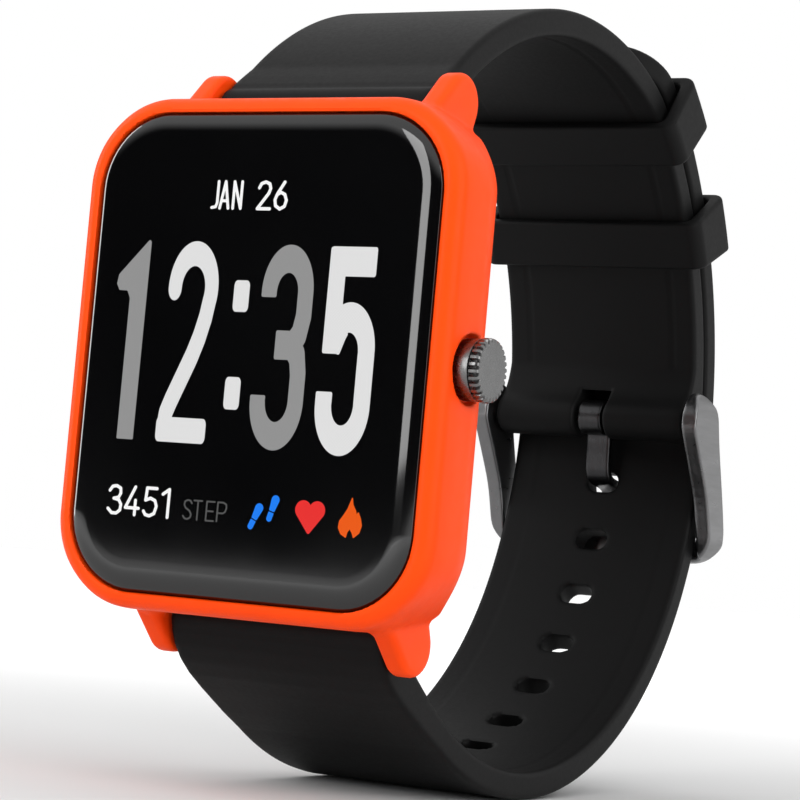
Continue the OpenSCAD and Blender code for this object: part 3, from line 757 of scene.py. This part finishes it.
def write(text, starts, base, height, stroke, width, mat):
    """One line of text, with the place across the display where each of its letters starts."""
    glyphs, room = small_glyphs(), 0.4
    for n, (letter, start) in enumerate(zip(text, starts)):
        lines = [[(start + px * width, base + pz * height) for px, pz in line] for line in glyphs[letter]]

        def field(x, z, lines=lines):
            return np.minimum.reduce([round_path(x, z, line, stroke / 2) for line in lines])

        lo, hi = (start - room, base - room), (start + 0.6 * width + room, base + height + room)
        figure("glyph_%s_%d_%d" % (letter, n, round(base * -10) % 1000), field, lo, hi, mat, 0.035)


def foot_field(x, z, top, heel, wide):
    """Footprint: a sole whose ball is at the top, and a heel, with a gap between them."""
    tx, tz = top
    hx, hz = heel
    mid = (tx + (hx - tx) * 0.52, tz + (hz - tz) * 0.52)
    sole = round_cone(x, z, top, wide, mid, wide * 0.72)
    cut = (x - mid[0]) * (hx - tx) + (z - mid[1]) * (hz - tz)
    cut = cut / math.hypot(hx - tx, hz - tz) - wide * 0.35
    sole = np.maximum(sole, cut)
    back = np.maximum(round_cone(x, z, mid, wide * 0.68, heel, wide * 0.66), -cut + 0.1)
    return np.minimum(sole, back)


def heart_field(x, z):
    ax, dz = np.abs(x - 6.95), z + 11.75
    lobes = np.hypot(ax - 0.62, dz - 0.05) - 0.72
    outline = [(-0.4, 0.35), (0.62, 0.3), (1.25, -0.32), (0.08, -1.76), (-0.1, -1.8), (-0.4, -1.4)]
    return np.minimum(lobes, polygon_field(ax, dz, outline))


def flame_field(x, z):
    outline = [(10.62, -10.55), (10.72, -11.05), (11.0, -11.5), (11.1, -11.85), (11.25, -11.62),
               (11.5, -12.1), (11.62, -12.6), (11.45, -13.15), (11.0, -13.52), (10.86, -13.2),
               (10.62, -12.85), (10.4, -13.15),
               (10.3, -13.55), (9.85, -13.3), (9.6, -12.85), (9.66, -12.35), (9.95, -11.95), (10.3, -11.4)]
    return polygon_field(x, z, outline) - 0.04


def build_display():
    """Generic time, date and step count, and the symbols of the three goals."""
    grey, pale, white, dim = (lit(name, (v, v, v)) for name, v in (
        ("lit_grey", 0.28), ("lit_pale", 0.72), ("lit_white", 0.9), ("lit_dim", 0.085)))
    figure("figure_1", one, (-13.5, -4.8), (-10, 5.8), grey, 0.07, TALL)
    figure("figure_2", two, (-8.4, -4.8), (-3, 5.8), pale, 0.07, TALL)
    figure("figure_colon", colon, (-2.1, -3), (-0.1, 4), pale, 0.07, TALL)
    figure("figure_3", three, (0.3, -4.9), (5.8, 5.8), grey, 0.07, TALL)
    figure("figure_5", five, (6.2, -4.9), (11.7, 5.8), pale, 0.07, TALL)
    write("JAN", (-4.75, -3.96, -2.72), 11.52, 2.12, 0.24, 2.0, white)
    write("26", (-0.42, 1.12), 11.52, 2.12, 0.26, 2.3, white)
    write("3451", (-11.98, -10.3, -8.52, -6.78), -13.15, 2.2, 0.26, 2.45, white)
    write("STEP", (-4.72, -3.76, -2.55, -1.52), -13.15, 1.5, 0.13, 1.72, dim)
    blue = lit("lit_blue", (0.012, 0.2, 0.86))
    figure("foot_left", lambda x, z: foot_field(x, z, (2.32, -11.85), (1.66, -13.3), 0.37),
           (1, -14), (3, -11.2), blue, 0.04)
    figure("foot_right", lambda x, z: foot_field(x, z, (3.75, -11.13), (3.3, -12.6), 0.36),
           (2.6, -13.2), (4.4, -10.5), blue, 0.04)
    figure("heart", heart_field, (5.2, -13.8), (8.7, -10.6), lit("lit_red", (0.78, 0.03, 0.028)), 0.05)
    figure("flame", flame_field, (9.3, -13.8), (11.9, -10.3), lit("lit_orange", (0.8, 0.1, 0.006)), 0.04)


# ---------------------------------------------------------------- crown

def build_crown():
    """Cap with a smooth collar next to the case, a ring of teeth and a flat face."""
    grooves, per, deep = 28, 10, 0.29
    n = grooves * per
    notches = [max(0.0, math.cos(2 * math.pi * (i % per) / per)) ** 0.7 for i in range(n)]
    x_in, x_out = CROWN_LO[0], CROWN_HI[0]
    stem, face = 0.82, x_out - 0.01
    r = CROWN_HI[2] - CROWN_AT[1] - 0.01
    # (place along the axis, radius, share of the grooves' depth), from the stem's hole to the face
    profile = [(x_in + 0.8, stem, 0), (x_in, stem, 0), (x_in, r - 0.35, 0), (x_in + 0.1, r - 0.12, 0),
               (x_in + 0.2, r - 0.08, 0), (x_out - 1.0, r - 0.08, 0), (x_out - 0.94, r - 0.1, 0),
               (x_out - 0.92, r - 0.3, 0), (x_out - 0.86, r - 0.3, 0), (x_out - 0.84, r - 0.12, 0.6),
               (x_out - 0.76, r, 1), (x_out - 0.3, r, 1), (x_out - 0.16, r - 0.04, 1),
               (x_out - 0.06, r - 0.1, 1), (face, r - 0.18, 1), (face, r - 0.5, 0), (face, r * 0.4, 0),
               (face, 0.05, 0)]
    rings = []
    for x, radius, share in profile:
        reach = [radius - deep * share * notch for notch in notches]
        rings.append([(x, *(CROWN_AT + reach[i] * u(360 * i / n))) for i in range(n)])
    obj = loft("crown_cap_fine", rings)
    sharpen(obj, 32)
    piece(obj, LOOKS["crown_metal"], "crown", "crown_metal", "crown_cap")


# ---------------------------------------------------------------- strap

def direction(c, p):
    return math.degrees(math.atan2(p[1] - c[1], p[0] - c[0]))


class Chain:
    """Centre line of a strap half in the Y-Z plane: arcs of (centre, radius, first angle, last angle)."""

    def __init__(self, *arcs):
        self.arcs = arcs
        self.starts = [0.0]
        for _, r, a0, a1 in arcs:
            self.starts.append(self.starts[-1] + r * math.radians(abs(a1 - a0)))
        self.length = self.starts[-1]

    def place(self, s, n):
        """Y and Z of points at a length s along the chain and an offset n outward."""
        y, z = np.zeros_like(s), np.zeros_like(s)
        for i, (c, r, a0, a1) in enumerate(self.arcs):
            here = np.ones_like(s, bool)
            if i:
                here &= s >= self.starts[i]
            if i < len(self.arcs) - 1:
                here &= s < self.starts[i + 1]
            angle = math.radians(a0) + math.copysign(1, a1 - a0) * (s - self.starts[i]) / r
            y = np.where(here, c[0] + (r + n) * np.cos(angle), y)
            z = np.where(here, c[1] + (r + n) * np.sin(angle), z)
        return y, z

    def at(self, i, angle):
        """Length along the chain at an angle of its arc i."""
        _, r, a0, _ = self.arcs[i]
        return self.starts[i] + r * math.radians(abs(angle - a0))

    def flat(self, i, point):
        """Length along the chain and offset outward of a point beside its arc i."""
        c, r, a0, a1 = self.arcs[i]
        s = self.starts[i] + math.copysign(1, a1 - a0) * r * math.radians(direction(c, point) - a0)
        return s, math.hypot(point[0] - c[0], point[1] - c[1]) - r


TOP_CHAIN = Chain((TOP_AT, TOP_R, direction(TOP_AT, TOP_BAR), TOP_A),
                  (SHOULDER_AT, SHOULDER_R, TOP_A, SHOULDER_A), (WRAP_AT, WRAP_R, SHOULDER_A, 0.5))
LOW_CHAIN = Chain((FRONT_AT, FRONT_R, direction(FRONT_AT, LOW_BAR), FRONT_A),
                  (PALM_AT, PALM_R, FRONT_A, PALM_A), (WRAP_AT, OUTER_R, PALM_A, 60))
# Rounding of the strap's edges, and how far in from them the moulded line runs
EDGE_R, SEAM_IN = 0.4, 2.3
BLOCK_R = 0.6
FIRST_HOLE_A, HOLE_PITCH, HOLES = 27.2, 6.1, 11


def strip(s, n, s0, s1):
    """Even thickness of the strap seen along X, from s0 to s1."""
    return round_rect(s - (s0 + s1) / 2, n, (s1 - s0) / 2, STRAP_T / 2 - THIN, 0.3)


def cut_out(profile, s, x, n, s0, s1, corner):
    """Profile seen along X cut to its plan from s0 to s1, with a fine moulded line on the wrist side."""
    mid, long = (s0 + s1) / 2, (s1 - s0) / 2
    r = np.where(s > mid, corner, 0.6)
    qs, qx = np.abs(s - mid) - (long - r), np.abs(x) - (STRAP_W / 2 - SHY - r)
    plan = np.hypot(np.maximum(qs, 0), np.maximum(qx, 0)) + np.minimum(np.maximum(qs, qx), 0) - r
    line = np.hypot(plan + SEAM_IN, n + STRAP_T / 2 - THIN) - 0.11
    return np.maximum(rmax(profile, plan, EDGE_R), -line)


def flat_outline(chain, points, inner):
    """Outline of the thick end next to the case, from corners (depth, z) given along its outer side."""
    steps = 6
    corners = [np.array([FACE + d, z]) for d, z in points]
    line = [a + (b - a) * k / steps for a, b in zip(corners, corners[1:]) for k in range(steps)]
    return [tuple(chain.flat(0, p)) for p in line + corners[-1:]] + inner


def strap_top_field(s, x, n):
    """Upper half: a thick end round the case's spring bar, and a fold with a notch round the buckle's."""
    s_bar, n_bar = TOP_CHAIN.flat(0, TOP_BAR)
    s_pin, n_pin = TOP_CHAIN.flat(2, PIVOT)
    tube = np.hypot(s - s_bar, n - n_bar) - (END_R - THIN)
    fold = round_cone(s, n, (s_pin - 3.2, -0.25), 0.9, (s_pin, n_pin + 0.05), 2.1)
    block = polygon_field(s, n, flat_outline(
        TOP_CHAIN, [(15.5, 26.95), (13.6, 26.05), (11.75, 24.7), (10.2, 23.6), (9.1, 22.75), (8.2, 21.8)],
        [(s_bar, n_bar), (s_bar + 3, -0.2), (s_bar + 6, 0.2)])) - BLOCK_R
    profile = rmin(strip(s, n, s_bar + 0.4, TOP_CHAIN.length + 1.2), fold, 1.5)
    profile = np.maximum(profile, n - (STRAP_T / 2 - THIN))
    profile = np.minimum(rmin(profile, tube, 0.6), block)
    f = cut_out(profile, s, x, n, s_bar - 3, s_pin + 3, 0.6)
    f = np.maximum(f, -(np.hypot(s - s_bar, n - n_bar) - BORE_R))
    f = np.maximum(f, -(np.hypot(s - s_pin, n - n_pin) - BORE_R))
    notch = np.maximum(np.abs(x) - 1.6, (s_pin - 2.8) - s)
    return rmax(f, -notch, 0.2)


def strap_bottom_field(s, x, n):
    """Lower half: a thick end round the case's spring bar, a row of holes and a rounded tail."""
    s_bar, n_bar = LOW_CHAIN.flat(0, LOW_BAR)
    tube = np.hypot(s - s_bar, n - n_bar) - (END_R - THIN)
    block = polygon_field(s, n, flat_outline(
        LOW_CHAIN, [(24.7, -31.9), (23.5, -31.9), (21.5, -31.07), (19.5, -30.09), (16.0, -28.3),
                    (12.5, -26.35), (10.6, -25.2), (9.2, -24.1), (8.25, -23.0), (7.75, -22.0)],
        [(s_bar, n_bar), (s_bar + 3, -0.2), (s_bar + 14, 0.2)])) - BLOCK_R
    profile = np.minimum(rmin(strip(s, n, s_bar + 0.4, LOW_CHAIN.length), tube, 0.6), block)
    f = cut_out(profile, s, x, n, s_bar - 3, LOW_CHAIN.length, 5.0)
    f = np.maximum(f, -(np.hypot(s - s_bar, n - n_bar) - BORE_R))
    first = LOW_CHAIN.at(2, FIRST_HOLE_A)
    nearest = np.clip(np.round((first - s) / HOLE_PITCH), 0, HOLES - 1)
    hole = round_rect(x, s - (first - HOLE_PITCH * nearest), 1.66, 1.05, 1.04)
    return rmax(f, -hole, 0.15)


def build_strap(name, chain, field, body, node):
    """Meshes a strap half laid flat, then bends it along its chain."""
    lo = (-2.4, -STRAP_W / 2 - 0.5, -4.4 if node == "strap_top" else -2.4)
    hi = (chain.length + 3.6, STRAP_W / 2 + 0.5, 3.6)
    points, quads = skin(field, lo, hi, (0.34, 0.3, 0.24))
    y, z = chain.place(points[:, 0], points[:, 2])
    obj = new_mesh(name, np.stack([points[:, 1], y, z], 1), quads)
    sharpen(obj, 60)
    piece(obj, LOOKS["strap_rubber"], body, "strap_rubber", node)


KEEPER_LEN, KEEPER_WALL = 5.3, 0.9
UPPER_KEEPER_A, LOWER_KEEPER_A = 47.9, 29.2


def build_keeper(name, angle, body, node):
    """Moulded loop round both layers of the strap, at an angle about the strap's wrap."""
    inner, outer = WRAP_R - STRAP_T / 2 - 0.1, OUTER_R + STRAP_T / 2 + 0.3
    mid, half_t, half_w = (inner + outer) / 2, (outer - inner) / 2, STRAP_W / 2 + 0.4

    def field(s, x, n):
        ring = np.maximum(
            round_rect(x, n, half_w + 1.28, half_t + KEEPER_WALL - THIN, 1.25),
            -round_rect(x, n, half_w, half_t, 0.7))
        return rmax(ring, np.abs(s) - KEEPER_LEN / 2 + SHY, 0.3)

    hi = np.array([3.2, half_w + 2, half_t + 1.6])
    points, quads = skin(field, -hi, hi, (0.18, 0.18, 0.15))
    turn = math.radians(angle) + points[:, 0] / OUTER_R
    y = WRAP_AT[0] + (mid + points[:, 2]) * np.cos(turn)
    z = WRAP_AT[1] + (mid + points[:, 2]) * np.sin(turn)
    obj = new_mesh(name, np.stack([points[:, 1], y, z], 1), quads)
    sharpen(obj, 60)
    piece(obj, LOOKS["strap_rubber"], body, "strap_rubber", node)


# ---------------------------------------------------------------- buckle

# Inner and outer faces of its arms across the strap, and the place of its front bar
ARM_IN, ARM_OUT = 10.4, 12.0
FRONT_BAR = np.array([FACE + 67.35, -11.4])


def curve(knots, closed=False, steps=6):
    """Points on a smooth line through the knots."""
    count = len(knots)
    points = []
    for i in range(count if closed else count - 1):
        around = range(i - 1, i + 3)
        p0, p1, p2, p3 = (
            np.array(knots[j % count if closed else min(max(j, 0), count - 1)]) for j in around)
        for k in range(steps):
            t = k / steps
            points.append(tuple(0.5 * (2 * p1 + (p2 - p0) * t + (2 * p0 - 5 * p1 + 4 * p2 - p3) * t * t
                                       + (3 * p1 - p0 - 3 * p2 + p3) * t ** 3)))
    return points if closed else points + [tuple(knots[-1])]


def arm_points():
    """Outline of a buckle arm seen along X: round about the bar, then narrower to the front bar."""
    knots = [PIVOT + [-0.2, 0.05] + 2.65 * u(a) for a in range(205, 20, -23)]
    knots += [np.array([FACE + d, z]) for d, z in (
        (65.3, -1.5), (66.45, -4.8), (67.5, -8.0), (67.95, -10.0), (67.75, -11.4), (67.1, -12.3),
        (66.1, -12.35), (65.1, -11.1), (64.4, -9.0), (63.3, -6.2), (61.3, -3.0))]
    return curve(knots, True, 4)


def buckle_field(x, y, z):
    """Two arms and the front bar, with a blind hole in each arm for the spring bar's tips."""
    outline = polygon_field(y, z, arm_points()) - 0.1
    ax = np.abs(x)
    arms = rmax(outline, np.abs(ax - (ARM_IN + ARM_OUT) / 2) - (ARM_OUT - ARM_IN) / 2, 0.22)
    c, s = u(-14)
    dy, dz = y - FRONT_BAR[0], z - FRONT_BAR[1]
    front = rmax(round_rect(dy * c + dz * s, -dy * s + dz * c, 0.82, 1.17, 0.6), ax - ARM_OUT, 0.3)
    top, low = PIVOT[1] + 3.75, FRONT_BAR[1] - 1.25
    plan = round_rect(x, z - (top + low) / 2, ARM_OUT, (top - low) / 2, 3.4)
    f = rmax(rmin(arms, front, 0.6), plan, 0.22)
    return np.maximum(f, -np.maximum(np.hypot(y - PIVOT[0], z - PIVOT[1]) - 0.45, ax - 11.55))


def tongue_path():
    """Centre line of the tongue from its barrel to the tip over the front bar."""
    bends = ((63.1, 0.6), (63.4, -1.2), (63.5, -2.9), (63.7, -4.3), (64.6, -5.15), (67.2, -5.75),
             (68.45, -7.0), (68.93, -8.6), (68.93, -12.3))
    return curve([np.array([FACE + d, z]) for d, z in bends])


def tongue_field(x, y, z):
    blade = round_path(y, z, tongue_path(), 0.38)
    from_pivot = np.hypot(y - PIVOT[0], z - PIVOT[1])
    f = rmax(rmin(blade, from_pivot - 1.65, 0.4), np.abs(x) - 1.24, 0.2)
    return np.maximum(f, BORE_R - from_pivot)


def build_buckle():
    lo, hi = (-ARM_OUT - 0.5, PIVOT[0] - 3.2, FRONT_BAR[1] - 2.2), (ARM_OUT + 0.5, FACE + 69, PIVOT[1] + 3.4)
    obj = new_mesh("buckle_frame_fine", *skin(buckle_field, lo, hi, (0.2, 0.13, 0.13)))
    sharpen(obj, 50)
    piece(obj, LOOKS["buckle_metal"], "buckle", "buckle_metal", "buckle_frame")
    lo, hi = (-1.7, PIVOT[0] - 2.3, -13.4), (1.7, FACE + 70, PIVOT[1] + 2.3)
    obj = new_mesh("buckle_tongue_fine", *skin(tongue_field, lo, hi, (0.15, 0.13, 0.13)))
    sharpen(obj, 50)
    piece(obj, LOOKS["tongue_metal"], "tongue", "tongue_metal", "buckle_tongue")


# ---------------------------------------------------------------- back

def build_back():
    """Rear cover with a raised ring round the pulse sensor and a shallow step inside its edge."""
    back = CASE_D

    def field(x, y, z):
        d = y - FACE
        plate = round_rect(x, z, COVER_W - SHY, COVER_H - SHY, COVER_R)
        f = rmax(np.maximum(plate, 9.6 - d), d - (back - 0.06), 0.3)
        r = np.hypot(x, z)
        f = rmin(f, rmax(r - 7.6, np.maximum(d - (back + 0.38), 10 - d), 0.25), 0.3)
        groove = np.hypot(plate + 1.5, d - back) - 0.17
        f = np.maximum(f, -groove)
        f = np.maximum(f, -(r - 5.6))
        # Holes with shallow counterbores for the screws and the charging pads
        ax, az = np.abs(x), np.abs(z)
        screw = np.hypot(ax - SCREW_X, az - SCREW_Z)
        f = np.maximum(f, -(screw - 0.48))
        f = rmax(f, -np.maximum(screw - 0.95, back - 0.7 - d), 0.1)
        pad = np.hypot(ax - PAD_X, z - PAD_Z)
        f = np.maximum(f, -(pad - 1.05))
        return rmax(f, -np.maximum(pad - 1.7, back - 0.25 - d), 0.08)

    lo, hi = (-COVER_W - 0.6, FACE + 9.1, -COVER_H - 0.6), (COVER_W + 0.6, FACE + back + 1, COVER_H + 0.6)
    obj = new_mesh("rear_cover_fine", *skin(field, lo, hi, (0.24, 0.12, 0.24)))
    sharpen(obj, 45)
    piece(obj, LOOKS["black_plastic"], "case", "black_plastic", "rear_cover")
    lens = back + 0.6
    dome = [(5.5, 0.3), (5.42, 0.2), (5.28, 0.12), (4.9, 0.06), (4.0, 0.03), (2.4, 0.01), (0.8, 0)]
    rings = [disc_ring(5.5, 10.42)] + [disc_ring(r, lens - drop) for r, drop in dome]
    piece(loft("sensor_window_domed", rings), LOOKS["sensor_glass"], "case", "sensor_glass", "sensor_window")


# ---------------------------------------------------------------- studio

# The camera fitted to the photograph: place, angles in degrees and focal length in millimetres
CAMERA_AT = (0.119557, -0.218588, -0.015615)
CAMERA_AZ, CAMERA_EL, CAMERA_ROLL = 30.069, -3.457, 5.085
LENS = 125.8
FLOOR_R, FLOOR_GAP = 4.0, 0.00005


def build_camera():
    a, e, r = (math.radians(v) for v in (CAMERA_AZ, CAMERA_EL, CAMERA_ROLL))
    back = Vector((math.sin(a) * math.cos(e), -math.cos(a) * math.cos(e), math.sin(e)))
    right = (-back).cross(Vector((0, 0, 1))).normalized()
    up = right.cross(-back)
    right, up = math.cos(r) * right + math.sin(r) * up, -math.sin(r) * right + math.cos(r) * up
    cam = bpy.data.objects.new("camera", bpy.data.cameras.new("camera"))
    cam.data.lens, cam.data.sensor_width = LENS, 36.0
    cam.data.clip_start, cam.data.clip_end = 0.01, 20.0
    turn = Matrix((right, up, back)).transposed().to_4x4()
    cam.matrix_world = Matrix.Translation(CAMERA_AT) @ turn
    bpy.context.scene.collection.objects.link(cam)
    bpy.context.scene.camera = cam


def area(name, place, target, size, power, glossy=True):
    data = bpy.data.lights.new(name, "AREA")
    data.shape = "RECTANGLE"
    data.size, data.size_y = size
    data.energy = power
    obj = bpy.data.objects.new(name, data)
    obj.location = place
    obj.rotation_euler = (Vector(target) - Vector(place)).to_track_quat("-Z", "Y").to_euler()
    obj.visible_glossy = glossy
    bpy.context.scene.collection.objects.link(obj)


def build_studio():
    """Pale sky that the camera sees as white, the lamps, and the floor under the watch."""
    world = bpy.data.worlds.new("studio")
    bpy.context.scene.world = world
    world.use_nodes = True
    nodes, links = world.node_tree.nodes, world.node_tree.links
    coord = nodes.new("ShaderNodeTexCoord")
    split = nodes.new("ShaderNodeSeparateXYZ")
    ramp = nodes.new("ShaderNodeMapRange")
    ramp.interpolation_type = "SMOOTHSTEP"
    set_sockets(ramp, From_Min=0.26, From_Max=0.56, To_Min=0.02, To_Max=1.05)
    links.new(coord.outputs["Generated"], split.inputs["Vector"])
    links.new(split.outputs["Z"], ramp.inputs["Value"])
    path = nodes.new("ShaderNodeLightPath")
    mix = nodes.new("ShaderNodeMix")
    links.new(path.outputs["Is Camera Ray"], mix.inputs["Factor"])
    links.new(ramp.outputs["Result"], mix.inputs["A"])
    set_sockets(mix, B=1.0)
    links.new(mix.outputs["Result"], nodes["Background"].inputs["Color"])
    area("key", (-0.3, -0.85, 0.5), (0, -0.01, 0), (0.8, 0.5), 1.2, glossy=False)
    area("front", (-0.172, -0.883, 0.29), (0, 0, 0.1), (0.28, 0.55), 2.5)
    area("strip_front", (0.42, -0.82, 0.15), (0, -0.02, 0), (0.1, 0.8), 0.9, glossy=False)
    area("box_right", (0.72, -0.18, 0.2), (0, -0.01, 0), (0.5, 0.6), 2.6)
    area("box_back", (0.6, 0.95, 0.1), (0.02, 0, -0.01), (1.0, 0.8), 2.4)
    area("strip_left", (-0.7, -0.1, 0.12), (0, -0.02, 0), (0.12, 0.7), 1.6)
    floor_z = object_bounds()[0][2] - FLOOR_GAP
    bm = bmesh.new()
    bmesh.ops.create_circle(bm, cap_ends=True, segments=96, radius=FLOOR_R)
    mesh = bpy.data.meshes.new("floor")
    bm.to_mesh(mesh)
    bm.free()
    floor = place_mesh("floor", mesh)
    floor.location = (0, 0, floor_z)
    floor.data.materials.append(floor_look())
    bpy.context.scene.view_settings.view_transform = "Standard"


build_camera()
finish_frame()
build_case()
build_glass()
build_display()
build_crown()
build_strap("strap_top_fine", TOP_CHAIN, strap_top_field, "upper_strap", "strap_top")
build_strap("strap_bottom_fine", LOW_CHAIN, strap_bottom_field, "lower_strap", "strap_bottom")
build_keeper("keeper_upper_fine", UPPER_KEEPER_A, "upper_keeper", "keeper_upper")
build_keeper("keeper_lower_fine", LOWER_KEEPER_A, "lower_keeper", "keeper_lower")
build_buckle()
build_back()
build_studio()
